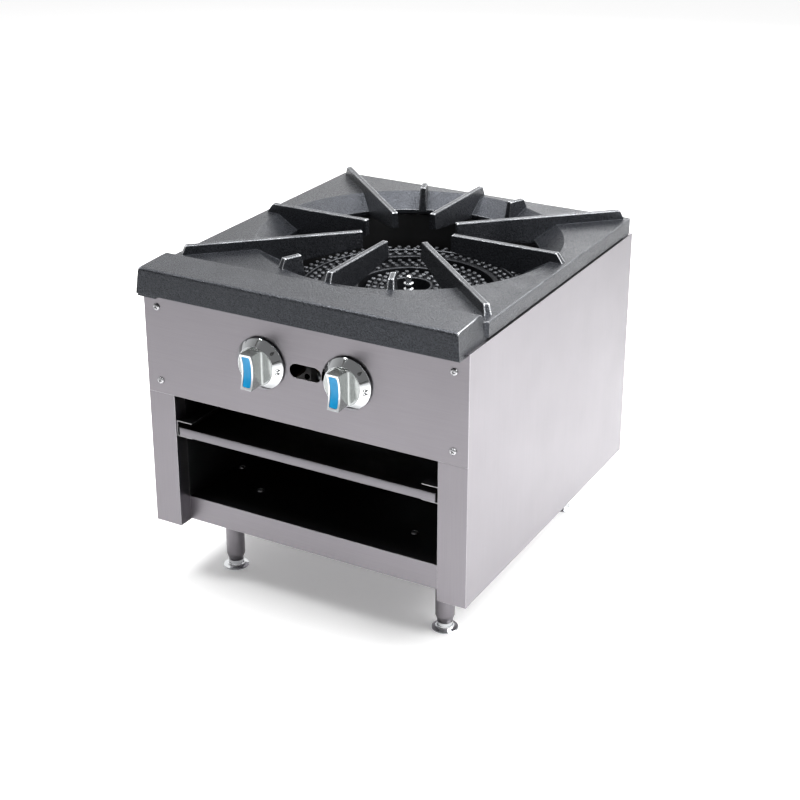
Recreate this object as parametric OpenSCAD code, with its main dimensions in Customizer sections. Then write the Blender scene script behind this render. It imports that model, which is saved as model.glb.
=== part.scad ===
// Single gas hotplate for a stock pot: a cast iron top over a three ring burner,
// in a folded stainless steel body on four adjustable legs.
// Millimetres, +Z up. The origin is on the floor under the middle of the whole
// object. -Y is the side with the knobs, +X is the right hand of the cook.

/* [Body] */
// Width over both side panels
body_w = 457; // [440:1:520]
// Depth of the side panels from the front face to the rear edge
body_d = 491; // [480:1:560]
// Height of the top edge of the body above the floor
body_top = 419; // [405:1:460]
// Height of the lower edge of the side panels above the floor
body_bottom = 90; // [70:1:100]
// Thickness of the stainless steel sheet
sheet = 1.2; // [0.8:0.1:2]
// Thickness of the black enamelled sheet inside
liner_t = 0.8; // [0.6:0.1:1.5]
// Width of each front post
post_w = 39; // [32:0.5:50]
// Depth of the fold behind each front post
post_d = 21.5; // [15:0.5:30]
// Width of the flanges at the top and the rear of a side panel
flange_w = 18; // [14:1:26]
// Height of the rail at the front of the bottom shelf
rail_h = 33; // [25:1:45]
// Height of the shelf above the lower edge of the side panels
shelf_rise = 34; // [30:1:50]

/* [Control panel] */
// Height of the control panel
panel_h = 142; // [135:1:160]
// Depth of the folds along its upper and lower edge
panel_fold = 10; // [6:1:11]
// Length of the pilot slot
slot_l = 45; // [35:1:50]
// Height of the pilot slot
slot_h = 19; // [14:1:24]
// Place of the slot to the right of the middle
slot_x = 9; // [6:1:11]
// Distance of the corner screws from the ends of the panel
screw_in = 19.5; // [12:0.5:24]
// Distance of the upper screws below the top edge
screw_top = 24.5; // [18:0.5:30]
// Distance of the lower screws above the bottom edge
screw_low = 17.5; // [10:0.5:24]
// Diameter of the panel screws
screw_d = 4; // [3:0.5:5]

/* [Knobs] */
// Distance between the two knobs
knob_spacing = 122; // [110:1:140]
// Place of the middle of the two knobs to the right of the body's middle
knob_x = 7; // [0:1:12]
// Distance of the knobs below the top edge of the body
knob_drop = 68.5; // [60:0.5:75]
// Outer radius of the chrome skirt
skirt_r = 34; // [30:0.5:38]
// Radius of the skirt at its front
dial_r = 24.5; // [24:0.5:28]
// Depth of the skirt
skirt_d = 11; // [9:0.5:16]
// Gap between the skirt and the control panel
knob_gap = 2; // [1:0.5:4]
// Length of the grip bar
grip_l = 46; // [42:1:48]
// Width of the grip bar at its front
grip_w = 16.4; // [14:0.1:20]
// How far the bar stands out of the dial
grip_d = 22; // [18:0.5:28]
// Depth of the scoop along the front of the bar
grip_scoop = 4.8; // [2:0.2:6]
// Diameter of the valve stem
stem_d = 8; // [6:0.5:10]

/* [Cast iron top] */
// Height of the plate's upper face above the body
plate_rise = 22.5; // [20:0.5:28]
// Thickness of the casting
cast_t = 6; // [5:0.5:8]
// How far the plate stays inside the body at each side
plate_inset = 1.4; // [1:0.1:4]
// Gap under the rim of the plate, above the body
rim_gap = 2.6; // [1:0.1:4]
// Radius of the round opening in the plate
opening_r = 203; // [190:1:206]
// Width of the sloping wall round the opening
cone_run = 31; // [24:1:34]
// Height of the sloping wall round the opening
cone_drop = 18.5; // [14:0.5:20]
// Height of the pot fins above the plate
fin_rise = 12.5; // [8:0.5:16]
// Radius of the free space between the inner ends of the fins
fin_tip_r = 64; // [50:1:80]
// Height of a fin at its inner end
fin_tip_h = 22; // [16:1:28]
// Height of a fin at the sloping wall
fin_root_h = 36; // [32:1:38]
// Thickness of a fin at its top
fin_w = 7.5; // [6:0.5:9]
// Thickness of a fin at its lower edge
fin_root_w = 12; // [10:0.5:14]
// Angle of the corner fins from the X axis
diagonal = 43.6; // [42:0.2:46]
// Depth of the raised ledge along the front
ledge_d = 64; // [58:1:66]
// How far the ledge stands out over the control panel
ledge_out = 18.4; // [12:0.2:24]
// Height of the ledge above the plate
ledge_rise = 10.5; // [6:0.5:12]

/* [Burner] */
// Place of the burner's middle behind the front face
burner_in = 274; // [270:1:280]
// Height of the port tops below the top edge of the body
port_drop = 46; // [44:1:60]
// Height of the raised ports and rims
port_h = 5.5; // [3:0.5:7]
// Diameter of a raised port
port_d = 7; // [5:0.5:8]
// Height of the hollow ring castings below their ports
ring_h = 29.5; // [26:0.5:34]
// Wall of the ring castings
ring_wall = 4; // [3:0.5:5]
// Inner radius of the outer ring
outer_in = 114; // [112:1:118]
// Outer radius of the outer ring
outer_out = 163; // [158:1:166]
// Inner radius of the middle ring
middle_in = 68; // [66:1:70]
// Outer radius of the middle ring
middle_out = 106; // [104:1:108]
// Inner radius of the small ring
inner_in = 28; // [26:1:30]
// Outer radius of the small ring
inner_out = 60; // [58:1:62]
// Radius of the round heat shield
shield_r = 177; // [172:1:180]
// Height of the heat shield
shield_h = 76; // [60:1:77]
// Thickness of the support bars under the burner
bar_t = 5; // [4:0.5:6]
// Width of the support bars
bar_w = 30; // [24:1:32]
// Distance of each bar in front of or behind the burner's middle
bar_y = 88; // [86:0.5:95]

/* [Gas train] */
// Drop of the mixing tubes below the valve stems
mix_drop = 38.5; // [38:0.5:44]
// Outer radius of the mixing tubes
mix_r = 16; // [14:0.5:17]
// Wall of the mixing tubes
mix_wall = 3.5; // [3:0.5:4]
// Outer radius of the gas pipe
pipe_r = 13.35; // [12:0.05:14]
// Bore radius of the gas pipe
pipe_bore = 10.5; // [9:0.5:11]
// Distance of the manifold behind the front face
manifold_in = 60; // [58:1:64]
// Distance of the valves' outlets behind the front face
outlet_in = 27; // [25:1:29]
// Distance of the mixing tubes' mouths behind the front face
mouth_in = 88; // [84:1:94]
// Length of the gas inlet outside the back
inlet_out = 18; // [18:1:30]
// Distance of the gas inlet inside the right post
inlet_side = 31.5; // [28:0.5:39]
// Height of the gas inlet below the manifold
inlet_drop = 72; // [69:1:76]

/* [Drip tray] */
// Distance of the tray's floor below the control panel
tray_drop = 55.7; // [50:0.1:70]
// Height of the tray's walls and of its front lip
tray_h = 12; // [9:0.5:14]
// Depth of the tray
tray_d = 465; // [440:1:470]
// Gap beside the tray, in its rails
tray_gap = 2.4; // [1.5:0.1:4]
// Gap above the tray, in its rails
tray_head = 7.2; // [4:0.1:10]
// Width of the flanges of the tray rails
rail_w = 23; // [16:1:26]

/* [Legs] */
// Distance of the legs inside the posts
leg_side = 29; // [26:0.5:45]
// Distance of the front legs behind the front face
leg_in = 78.5; // [70:0.5:90]
// Distance of the rear legs from the rear edge
leg_back = 45.5; // [42:0.5:60]
// Distance of the two bolts of a leg along its corner plate
bolt_in = 44; // [38:1:50]
// Distance of these bolts towards the corner or away from it
bolt_side = 16; // [10:1:18]
// Diameter of the legs
leg_d = 25; // [22:0.5:28]
// Height of the chrome feet below the legs
foot_h = 11; // [9:0.5:14]
// Radius of the flange of a foot
foot_r = 17.4; // [15:0.2:20]
// Diameter of the threaded stud of a foot
stud_d = 12; // [10:0.5:12]
// How far a foot can be screwed out
foot_travel = 25; // [20:1:30]

/* [Hidden] */
$fn = 48;
// Clearance between pieces that move past each other
slack = 0.3;
// A cut runs this far past the face it leaves
past = 1;
// Two cuts that meet end to end overlap by this much
seam = 0.01;

// Depth of the whole object, from the grips to the end of the gas inlet
knob_reach = knob_gap + skirt_d + grip_d;
front_y = knob_reach - (knob_reach + body_d + inlet_out) / 2;
back_y = front_y + body_d;
burner_y = front_y + burner_in;
side_x = body_w / 2;
post_x = side_x - post_w;
shelf_z = body_bottom + shelf_rise;
panel_z = body_top - panel_h;
knob_z = body_top - knob_drop;
left_x = knob_x - knob_spacing / 2;
right_x = knob_x + knob_spacing / 2;

// Cast iron top
plate_z = body_top + plate_rise;
fin_z = plate_z + fin_rise;
ledge_z = plate_z + ledge_rise;
plate_x = side_x - plate_inset;
plate_front = front_y - ledge_out + ledge_d;
plate_back = back_y - 2.7;
cone_r = opening_r - cone_run;
cone_z = plate_z - cone_drop;

// Burner
port_z = body_top - port_drop;
ring_top = port_z - port_h;
ring_z = ring_top - ring_h;
mix_z = knob_z - mix_drop;
manifold_y = front_y + manifold_in;
outlet_y = front_y + outlet_in;
mouth_y = front_y + mouth_in;
inlet_x = post_x - inlet_side;
supply_z = knob_z - inlet_drop;
pilot_valve_x = knob_x + 10;
pilot_out = 12;
pilot_x = pilot_valve_x - pilot_out;
pilot_y = burner_y - 11;

// Drip tray
tray_z = panel_z - tray_drop;

// Legs
leg_top = shelf_z - sheet - liner_t;
leg_plate_t = 3;
bolt_d = 5;
leg_x = post_x - leg_side;
leg_front = front_y + leg_in;
leg_rear = back_y - leg_back;

// Points of an arc in a plane, from angle a to angle b
function arc(cx, cy, r, a, b, n = 6) =
    [for (i = [0:n]) [cx + r * cos(a + (b - a) * i / n), cy + r * sin(a + (b - a) * i / n)]];

// Plain block between two corners
module block(a, b) { translate(a) cube(b - a); }

// Cylinder along Y from y0 to y1
module rod_y(x, z, r, y0, y1) { translate([x, y0, z]) rotate([-90, 0, 0]) cylinder(r = r, h = y1 - y0); }

// Cylinder along X from x0 to x1
module rod_x(y, z, r, x0, x1) { translate([x0, y, z]) rotate([0, 90, 0]) cylinder(r = r, h = x1 - x0); }

// Pan head screw along -Y with its head's seat at y
module front_screw(x, y, z, d, l) {
    rod_y(x, z, d / 2, y - past / 2, y + l);
    translate([x, y, z]) rotate([90, 0, 0]) rotate_extrude()
        polygon(concat([[0, 0], [d, 0]], arc(0, -d * 0.6, d * 1.17, 31, 90, 5)));
}

// Quarter bend of a tube in the plane of X and Y, from +Y round to +X
module quarter_bend(bend_r, r) { rotate_extrude(angle = 90) translate([bend_r, 0]) circle(r); }

// Heights of the screws along the rear edges
back_screw_z = [body_bottom + 40, (body_bottom + body_top) / 2, body_top - 25];
back_screw_x = side_x - flange_w / 2;

// Distance of the panel's screws from the middle
panel_screw_x = side_x - screw_in;

// Places of the four screws that hold a cross bar on the two liners
support_screw_drop = 13;
module support_screw_places() {
    for (s = [-1, 1], y = [burner_y - bar_y, burner_y + bar_y])
        translate([s * (post_x - bar_t), y, ring_z - support_screw_drop]) rotate([0, 0, -s * 90]) children();
}

// Right side panel: one sheet folded into the side, the front post and its flanges.
// Above the post the front is set back by the thickness of the control panel.
module side_panel() {
    joggle = 10;
    difference() {
        union() {
            block([side_x - sheet, front_y, body_bottom], [side_x, back_y, panel_z]);
            block([side_x - sheet, front_y + sheet, panel_z - joggle], [side_x, back_y, body_top]);
            block([post_x, front_y, body_bottom], [side_x, front_y + sheet, panel_z]);
            block([post_x, front_y, body_bottom], [post_x + sheet, front_y + post_d, panel_z]);
            block([post_x, front_y + sheet, panel_z - joggle], [side_x, front_y + 2 * sheet, body_top]);
            block([side_x - flange_w, front_y + sheet, body_top - sheet], [side_x, back_y, body_top]);
            block([post_x, front_y, body_bottom], [side_x, back_y, body_bottom + sheet]);
            block([side_x - flange_w, back_y - sheet, body_bottom], [side_x, back_y, body_top]);
        }
        for (z = [body_top - screw_top, panel_z + screw_low])
            rod_y(panel_screw_x, z, screw_d / 2, front_y - past, front_y + 2 * sheet + past);
        for (z = back_screw_z) rod_y(back_screw_x, z, screw_d / 2, back_y - sheet - past, back_y + past);
    }
}

module left_side_panel() { color("#a5a1a6") mirror([1, 0, 0]) side_panel(); }
module right_side_panel() { color("#dfdfe0") side_panel(); }

// Right liner: black sheet behind the post, from the floor flange to the burner
liner_top = port_z + 8;
liner_y = front_y + post_d;
liner_back = back_y - sheet - liner_t;
module liner() {
    difference() {
        union() {
            block([post_x, liner_y, body_bottom + sheet], [post_x + liner_t, liner_back, liner_top]);
            block([post_x, liner_y, liner_top - liner_t], [side_x - sheet, liner_back, liner_top]);
        }
        for (y = [burner_y - bar_y, burner_y + bar_y])
            rod_x(y, ring_z - support_screw_drop, screw_d / 2, post_x - past, post_x + liner_t + past);
    }
}
module left_liner() { color("#1a1a1c") mirror([1, 0, 0]) liner(); }
module right_liner() { color("#1a1a1c") liner(); }

// Back panel with two rows of air slots and a hole for the gas inlet
module back_panel() {
    air_slot_w = 7;
    air_slot_h = 46;
    slot_pitch = 26;
    cut = 4 * sheet;
    color("#9a9c9e") difference() {
        block([-side_x + sheet + slack, back_y - sheet - liner_t, body_bottom + sheet],
            [side_x - sheet - slack, back_y - sheet, body_top - sheet]);
        for (i = [-5:5], z = [body_bottom + 70, body_top - 70])
            translate([i * slot_pitch, back_y, z]) rotate([90, 0, 0]) {
                translate([0, 0, -past]) linear_extrude(cut + 2 * past) {
                    square([air_slot_w, air_slot_h - air_slot_w], center = true);
                    for (s = [-1, 1]) translate([0, s * (air_slot_h - air_slot_w) / 2]) circle(air_slot_w / 2);
                }
            }
        rod_y(inlet_x, supply_z, pipe_r + 2, back_y - cut, back_y + past);
        for (s = [-1, 1], z = back_screw_z)
            rod_y(s * back_screw_x, z, screw_d / 2, back_y - cut, back_y + past);
    }
}

module back_screws() {
    color("#c8c8ca") for (s = [-1, 1], z = back_screw_z)
        translate([s * back_screw_x, back_y, z]) rotate([0, 0, 180])
            front_screw(0, 0, 0, screw_d, 8);
}

// Control panel with folds above and below, knob holes, pilot slot and screw holes
module control_panel() {
    fold_x = min(post_x, side_x - flange_w) - slack;
    color("#a8a4a9") difference() {
        union() {
            block([-side_x, front_y, panel_z], [side_x, front_y + sheet, body_top]);
            for (z = [panel_z, body_top - sheet])
                block([-fold_x, front_y, z], [fold_x, front_y + panel_fold, z + sheet]);
        }
        for (x = [left_x, right_x])
            rod_y(x, knob_z, stem_d / 2 + 3, front_y - past, front_y + sheet + past);
        translate([slot_x, front_y, knob_z]) rotate([90, 0, 0])
            translate([0, 0, -sheet - past]) linear_extrude(sheet + 2 * past) {
                square([slot_l - slot_h, slot_h], center = true);
                for (s = [-1, 1]) translate([s * (slot_l - slot_h) / 2, 0]) circle(slot_h / 2);
            }
        for (s = [-1, 1], z = [body_top - screw_top, panel_z + screw_low])
            rod_y(s * panel_screw_x, z, screw_d / 2, front_y - past, front_y + sheet + past);
    }
}

module panel_screws() {
    color("#d0d0d2") for (s = [-1, 1], z = [body_top - screw_top, panel_z + screw_low])
        front_screw(s * panel_screw_x, front_y, z, screw_d, 9);
}

// Bottom shelf: a sheet folded down at the front, as the rail, and at the other three edges
module bottom_shelf() {
    z1 = shelf_z - liner_t;
    z0 = shelf_z - rail_h;
    color("#a3a0a5") difference() {
        union() {
            block([-post_x, liner_y, z1 - sheet], [post_x, liner_back, z1]);
            block([-post_x, liner_y, z0], [post_x, liner_y + sheet, shelf_z]);
            block([-post_x, liner_back - sheet, z0], [post_x, liner_back, z1]);
            for (x = [-post_x, post_x - sheet])
                block([x, liner_y, z0], [x + sheet, liner_back, z1]);
        }
        leg_bolt_places() translate([0, 0, z1 - sheet - past]) cylinder(d = bolt_d, h = sheet + 2 * past);
    }
}

// Black sheet that covers the shelf
module shelf_liner() {
    color("#151516") difference() {
        block([-post_x, liner_y + sheet, shelf_z - liner_t], [post_x, liner_back, shelf_z]);
        leg_bolt_places() translate([0, 0, shelf_z - liner_t - past]) cylinder(d = bolt_d, h = liner_t + 2 * past);
    }
}

// Right tray rail: a C channel screwed to the post's fold and the liner
module tray_rail() {
    z0 = tray_z - slack - sheet;
    z1 = tray_z + tray_h + tray_head + sheet;
    y0 = front_y + 2 * sheet;
    y1 = front_y + tray_d + 4;
    block([post_x - sheet, y0, z0], [post_x, y1, z1]);
    block([post_x - rail_w, y0, z0], [post_x, y1, z0 + sheet]);
    block([post_x - rail_w, y0, z1 - sheet], [post_x, y1, z1]);
}
module left_tray_rail() { color("#1d1d1f") mirror([1, 0, 0]) tray_rail(); }
module right_tray_rail() { color("#1d1d1f") tray_rail(); }

// Drip tray: folded pan with a plain front lip, pulled out to the front
module drip_tray() {
    x = post_x - sheet - tray_gap;
    y1 = front_y + tray_d;
    color("#9b9799") difference() {
        block([-x, front_y + slack, tray_z], [x, y1, tray_z + tray_h]);
        block([-x + sheet, front_y + slack + sheet, tray_z + sheet], [x - sheet, y1 - sheet, tray_z + tray_h + past]);
    }
}

// Outline of a fin seen from its side: distance from the burner's middle, height.
// Its top slopes down over the last stretch, run long, to its end on the plate.
function fin_outline(end_r, run) = [
    [fin_tip_r, fin_z - fin_tip_h], [fin_tip_r, fin_z - 1], [fin_tip_r + 1, fin_z],
    [end_r - run, fin_z], [end_r, plate_z], [end_r, plate_z - cast_t / 2],
    [opening_r + 2, plate_z - cast_t / 2], [cone_r, cone_z - cast_t / 2],
    [cone_r, fin_z - fin_root_h]];

// A fin, thinner at the top than at its root, along +X from the burner's middle
module fin(outline) {
    low = fin_z - fin_root_h - 2;
    edge = 0.8;
    intersection() {
        rotate([90, 0, 0]) translate([0, 0, -fin_root_w / 2]) linear_extrude(fin_root_w) polygon(outline);
        rotate([90, 0, 90]) linear_extrude(2 * opening_r)
            polygon([[-fin_root_w / 2, low], [fin_root_w / 2, low], [fin_w / 2, fin_z - edge],
                [fin_w / 2 - edge, fin_z], [-fin_w / 2 + edge, fin_z], [-fin_w / 2, fin_z - edge]]);
    }
}

// Cast iron top: plate with a round opening and a sloping wall, eight fins, front ledge
module top_grate() {
    corner = 6;
    blend = 5;
    side_end = plate_x - corner;
    back_end = plate_back - burner_y - slack;
    corner_end = norm([plate_x, plate_back - burner_y]) - 2 * corner;
    front_end = opening_r + 3;
    tab_in = cone_r - 1;
    tab_out = opening_r - 3;
    wall = 5.5;
    edge_r = 2;
    rim_z = body_top + rim_gap;
    ledge_y = front_y - ledge_out;
    ledge_x = side_x - 3.3;
    front_draft = 2;
    side_draft = 3.5;
    lip_z = body_top - 3;
    step_y = plate_front;
    color("#3c3d40") {
        // plate with its rim, rounded along the top edges
        difference() {
            intersection() {
                translate([0, 0, rim_z]) linear_extrude(plate_z - rim_z) difference() {
                    polygon(concat([[-plate_x, step_y + blend], [-plate_x + blend, step_y],
                        [plate_x - blend, step_y], [plate_x, step_y + blend]],
                        arc(plate_x - corner, plate_back - corner, corner, 0, 90),
                        arc(-plate_x + corner, plate_back - corner, corner, 90, 180)));
                    translate([0, burner_y]) circle(opening_r, $fn = 96);
                }
                rotate([90, 0, 0]) translate([0, 0, -back_y]) linear_extrude(body_d)
                    polygon(concat([[-plate_x, rim_z], [plate_x, rim_z]],
                        arc(plate_x - edge_r, plate_z - edge_r, edge_r, 0, 90, 4),
                        arc(-plate_x + edge_r, plate_z - edge_r, edge_r, 90, 180, 4)));
                rotate([90, 0, 90]) translate([0, 0, -side_x]) linear_extrude(body_w)
                    polygon(concat([[step_y, plate_z], [step_y, rim_z], [plate_back, rim_z]],
                        arc(plate_back - edge_r, plate_z - edge_r, edge_r, 0, 90, 4)));
            }
            block([-plate_x + cast_t, step_y - past, rim_z - past],
                [plate_x - cast_t, plate_back - cast_t, plate_z - cast_t]);
        }
        // sloping wall round the opening
        translate([0, burner_y, 0]) rotate_extrude($fn = 96)
            polygon([[cone_r, cone_z], [opening_r, plate_z], [opening_r + 1.5, plate_z],
                [opening_r + 1.5, plate_z - cast_t], [cone_r + 3, cone_z - cast_t], [cone_r, cone_z - cast_t]]);
        // fins: left and right, back, corners, and the one that ends at the ledge
        translate([0, burner_y, 0]) {
            for (a = [0, 180]) rotate([0, 0, a]) fin(fin_outline(side_end, 9));
            rotate([0, 0, 90]) fin(fin_outline(back_end, 5));
            for (a = [diagonal, 180 - diagonal, 180 + diagonal, -diagonal])
                rotate([0, 0, a]) fin(fin_outline(corner_end, 6));
            rotate([0, 0, -90]) fin(fin_outline(front_end, 6));
            // short tabs on the sloping wall, at the front and the back
            for (a = [67.5, 112.5, -67.5, -112.5]) rotate([0, 0, a])
                fin([[tab_in, cone_z - cast_t / 2], [tab_in + 5, fin_z], [tab_out, fin_z],
                    [tab_out + 5.5, plate_z], [tab_out + 5.5, plate_z - cast_t / 2],
                    [opening_r, plate_z - cast_t / 2], [cone_r, cone_z - cast_t / 2]]);
        }
        // front ledge, open underneath
        difference() {
            intersection() {
                rotate([90, 0, 90]) translate([0, 0, -side_x]) linear_extrude(body_w)
                    polygon(concat([[ledge_y, lip_z]],
                        arc(ledge_y + front_draft + 4, ledge_z - 6.5, 4, 180, 95),
                        arc(step_y - 6, ledge_z - 3, 3, 90, 30),
                        [[step_y, plate_z], [step_y + 4, plate_z], [step_y + 4, body_top],
                            [front_y - past, body_top], [front_y - past, lip_z]]));
                rotate([90, 0, 0]) translate([0, 0, -step_y - 4]) linear_extrude(ledge_d + 6)
                    polygon(concat([[-ledge_x, lip_z], [ledge_x, lip_z]],
                        arc(ledge_x - side_draft - edge_r, ledge_z - edge_r, edge_r, 5, 85, 4),
                        arc(-ledge_x + side_draft + edge_r, ledge_z - edge_r, edge_r, 95, 175, 4)));
            }
            rotate([90, 0, 90]) translate([0, 0, -ledge_x + side_draft + wall])
                linear_extrude(2 * (ledge_x - side_draft - wall))
                    polygon([[ledge_y + wall, lip_z - past], [ledge_y + wall + 1, ledge_z - wall - 2.2],
                        [step_y - 6, ledge_z - wall], [step_y - 2, plate_z - cast_t],
                        [step_y + 5, plate_z - cast_t], [step_y + 5, lip_z - past]]);
        }
        // locating lug under the left end of the ledge, in front of the control panel
        block([-ledge_x + 2, ledge_y + 0.6, lip_z - 3], [-ledge_x + 29, ledge_y + wall, lip_z + past]);
        // feet on the top flanges of the body, at the back
        for (s = [-1, 1]) block([s > 0 ? plate_x - cast_t : -plate_x, plate_back - 30, body_top],
            [s > 0 ? plate_x : -plate_x + cast_t, plate_back - 10, rim_z + past]);
    }
}

// Heat shield: a rolled ring with a narrow flange, standing on the support bars
shield_foot = 6;
module burner_shield() {
    color("#1c1c1e") translate([0, burner_y, ring_z]) rotate_extrude($fn = 96)
        polygon([[shield_r - shield_foot, 0], [shield_r, 0], [shield_r, shield_h], [shield_r - sheet, shield_h],
            [shield_r - sheet, sheet], [shield_r - shield_foot, sheet]]);
}

// Flat bar between the liners, turned down at both ends
module support_bar(y) {
    color("#2c2c2e") difference() {
        union() {
            block([-post_x, y - bar_w / 2, ring_z - bar_t], [post_x, y + bar_w / 2, ring_z]);
            for (x = [-post_x, post_x - bar_t])
                block([x, y - bar_w / 2, ring_z - 22], [x + bar_t, y + bar_w / 2, ring_z]);
        }
        for (s = [-1, 1])
            rod_x(y, ring_z - support_screw_drop, screw_d / 2, s * post_x - bar_t - past, s * post_x + bar_t + past);
    }
}
module front_support_bar() { support_bar(burner_y - bar_y); }
module rear_support_bar() { support_bar(burner_y + bar_y); }

module support_screws() {
    color("#bdbdc0") support_screw_places() front_screw(0, 0, 0, screw_d, bar_t + liner_t + 4);
}

// Raised ports in one row of a burner ring
module ports(r, n) {
    for (i = [0:n - 1]) rotate([0, 0, (i + 0.5) * 360 / n])
        translate([r, 0, ring_top - past]) cylinder(d = port_d, h = port_h + past, $fn = 16);
}
// Number of ports that fit in a row of radius r
function port_count(r) = floor(2 * PI * r / 13.4);

// Hollow ring casting
module ring(r0, r1) {
    rotate_extrude($fn = 96) difference() {
        translate([r0, ring_z]) square([r1 - r0, ring_h]);
        translate([r0 + ring_wall, ring_z + ring_wall]) square([r1 - r0 - 2 * ring_wall, ring_h - 2 * ring_wall]);
    }
}

// Raised rim on a ring, from radius r0 to r1
module ridge(r0, r1) {
    rotate_extrude($fn = 96) translate([r0, ring_top - past]) square([r1 - r0, port_h + past]);
}

// Place of the hole where a mixing tube comes up into its ring
function riser_y(x, r) = round(burner_y - sqrt(r * r - x * x));
outer_mid = (outer_in + outer_out) / 2;
middle_mid = (middle_in + middle_out) / 2;
outer_riser_y = riser_y(left_x, outer_mid);
centre_riser_y = riser_y(right_x, middle_mid);
riser_bore = mix_r - mix_wall;

module outer_burner_ring() {
    color("#2a2b2d") difference() {
        translate([0, burner_y, 0]) {
            ring(outer_in, outer_out);
            ridge(outer_in, outer_in + 7);
            ridge(outer_mid + 4.5, outer_mid + 7);
            for (r = [outer_in + 13.5, outer_in + 22.5, outer_mid + 12, outer_mid + 20]) ports(r, port_count(r));
        }
        translate([left_x, outer_riser_y, ring_z - past]) cylinder(r = riser_bore, h = ring_wall + 2 * past);
    }
}

// The middle and the small ring are one casting, joined by three webs
module centre_burner_rings() {
    color("#2a2b2d") difference() {
        translate([0, burner_y, 0]) {
            ring(middle_in, middle_out);
            ridge(middle_in, middle_in + 3.5);
            for (r = [middle_in + 13, middle_in + 23, middle_in + 33]) ports(r, port_count(r));
            ring(inner_in, inner_out);
            ridge(inner_in, inner_in + 3);
            for (r = [inner_in + 9.5, inner_in + 18.5, inner_in + 27]) ports(r, port_count(r));
            for (a = [90, 210, 330]) rotate([0, 0, a])
                block([inner_out - 2, -9, ring_z], [middle_in + 2, 9, ring_z + 16]);
        }
        translate([right_x, centre_riser_y, ring_z - past]) cylinder(r = riser_bore, h = ring_wall + 2 * past);
    }
}

// Cast mixing tube: bell mouth, straight run and a bend up into the ring
module mixing_tube(x, end_y) {
    bend = mix_r + 4;
    bell_l = 14;
    bell = 5;
    run = end_y - bend - mouth_y;
    bore = mix_r - mix_wall;
    color("#343538") {
        translate([x, mouth_y, mix_z]) rotate([-90, 0, 0]) rotate_extrude()
            polygon([[bore + bell, 0], [mix_r + bell, 0], [mix_r, bell_l], [mix_r, run], [bore, run], [bore, bell_l]]);
        translate([x, end_y - bend, mix_z + bend]) rotate([0, 90, 0]) rotate_extrude(angle = 90)
            translate([bend, 0]) difference() {
                circle(mix_r);
                circle(bore);
            }
        translate([x, end_y, mix_z + bend]) rotate_extrude()
            translate([bore, 0]) square([mix_wall, ring_z - mix_z - bend]);
    }
}
module outer_mixing_tube() { mixing_tube(left_x, outer_riser_y); }
module centre_mixing_tube() { mixing_tube(right_x, centre_riser_y); }

// Round air shutter in front of a bell mouth, with four air holes
hood_r = 8;
shutter_t = 2;
module air_shutter(x) {
    color("#9c9ea0") translate([x, mouth_y - slack - shutter_t, mix_z]) rotate([-90, 0, 0]) difference() {
        cylinder(r = mix_r + 5, h = shutter_t);
        translate([0, 0, -past]) cylinder(r = hood_r + slack, h = shutter_t + 2 * past);
        for (a = [0:90:270]) rotate([0, 0, a + 45]) translate([mix_r - 1.5, 0, -past])
            cylinder(r = 4, h = shutter_t + 2 * past);
    }
    color("#9c9ea0") block([x - 6, mouth_y - slack - shutter_t, mix_z + mix_r + 3],
        [x + 6, mouth_y - slack, mix_z + mix_r + 12]);
}
module outer_air_shutter() { air_shutter(left_x); }
module centre_air_shutter() { air_shutter(right_x); }

// Brass orifice hood: hexagon on the valve's outlet, round nose through the shutter
elbow_r = 7;
module orifice(x) {
    color("#b08d4c") difference() {
        union() {
            translate([x, outlet_y + elbow_r + 6, mix_z]) rotate([-90, 0, 0]) cylinder(r = 10, h = 12, $fn = 6);
            rod_y(x, mix_z, hood_r, outlet_y + elbow_r + 17, mouth_y + 4);
        }
        rod_y(x, mix_z, 1.4, outlet_y, mouth_y + 4 + past);
        rod_y(x, mix_z, 5, outlet_y, mouth_y - 4);
    }
}
module outer_orifice() { orifice(left_x); }
module centre_orifice() { orifice(right_x); }

// Gas valve: round body with the stem in front, inlet into the manifold, outlet elbow below
module valve(x) {
    y0 = front_y + 12;
    y1 = front_y + 42;
    color("#a8a092") difference() {
        union() {
            rod_y(x, knob_z, 12, y0 + 6, y1);
            rod_y(x, knob_z, 9, y0, y0 + 7);
            rod_y(x, knob_z, 7, y1 - past, manifold_y - pipe_r + 1);
            translate([x, outlet_y, mix_z]) cylinder(r = elbow_r, h = knob_z - mix_z);
            translate([x, outlet_y, mix_z]) sphere(elbow_r);
            rod_y(x, mix_z, elbow_r, outlet_y, outlet_y + elbow_r + 6);
        }
        rod_y(x, knob_z, stem_d / 2 + 0.05, y0 - past, y0 + 16);
    }
}
module left_valve() { valve(left_x); }
module right_valve() { valve(right_x); }

// Stem that joins a knob to its valve
module valve_stem(x) {
    color("#b9b6ac") rod_y(x, knob_z, stem_d / 2, front_y - knob_gap - skirt_d + hub_wall, front_y + 27);
}
module left_valve_stem() { valve_stem(left_x); }
module right_valve_stem() { valve_stem(right_x); }

// The knob's own frame: +Z out of the panel, Y up, origin on the panel's face
module on_knob(x) { translate([x, front_y, knob_z]) rotate([90, 0, 0]) children(); }
hub_r = 16;
hub_wall = 3;
hub_back = knob_gap + 3;
skirt_front = knob_gap + skirt_d;
dial_t = 1.2;

// Chrome skirt: short rim and cone
module knob_skirt(x) {
    rim = 2.5;
    color("#c9cbcc") on_knob(x) rotate_extrude($fn = 72)
        polygon([[hub_r, hub_back], [skirt_r - 5, hub_back], [skirt_r - 1.5, knob_gap],
            [skirt_r, knob_gap], [skirt_r, knob_gap + rim - 1], [skirt_r - 0.8, knob_gap + rim],
            [dial_r + 0.8, skirt_front], [dial_r, skirt_front], [dial_r, skirt_front - dial_t],
            [hub_r, skirt_front - dial_t]]);
}
module left_knob_skirt() { knob_skirt(left_x); }
module right_knob_skirt() { knob_skirt(right_x); }

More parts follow.
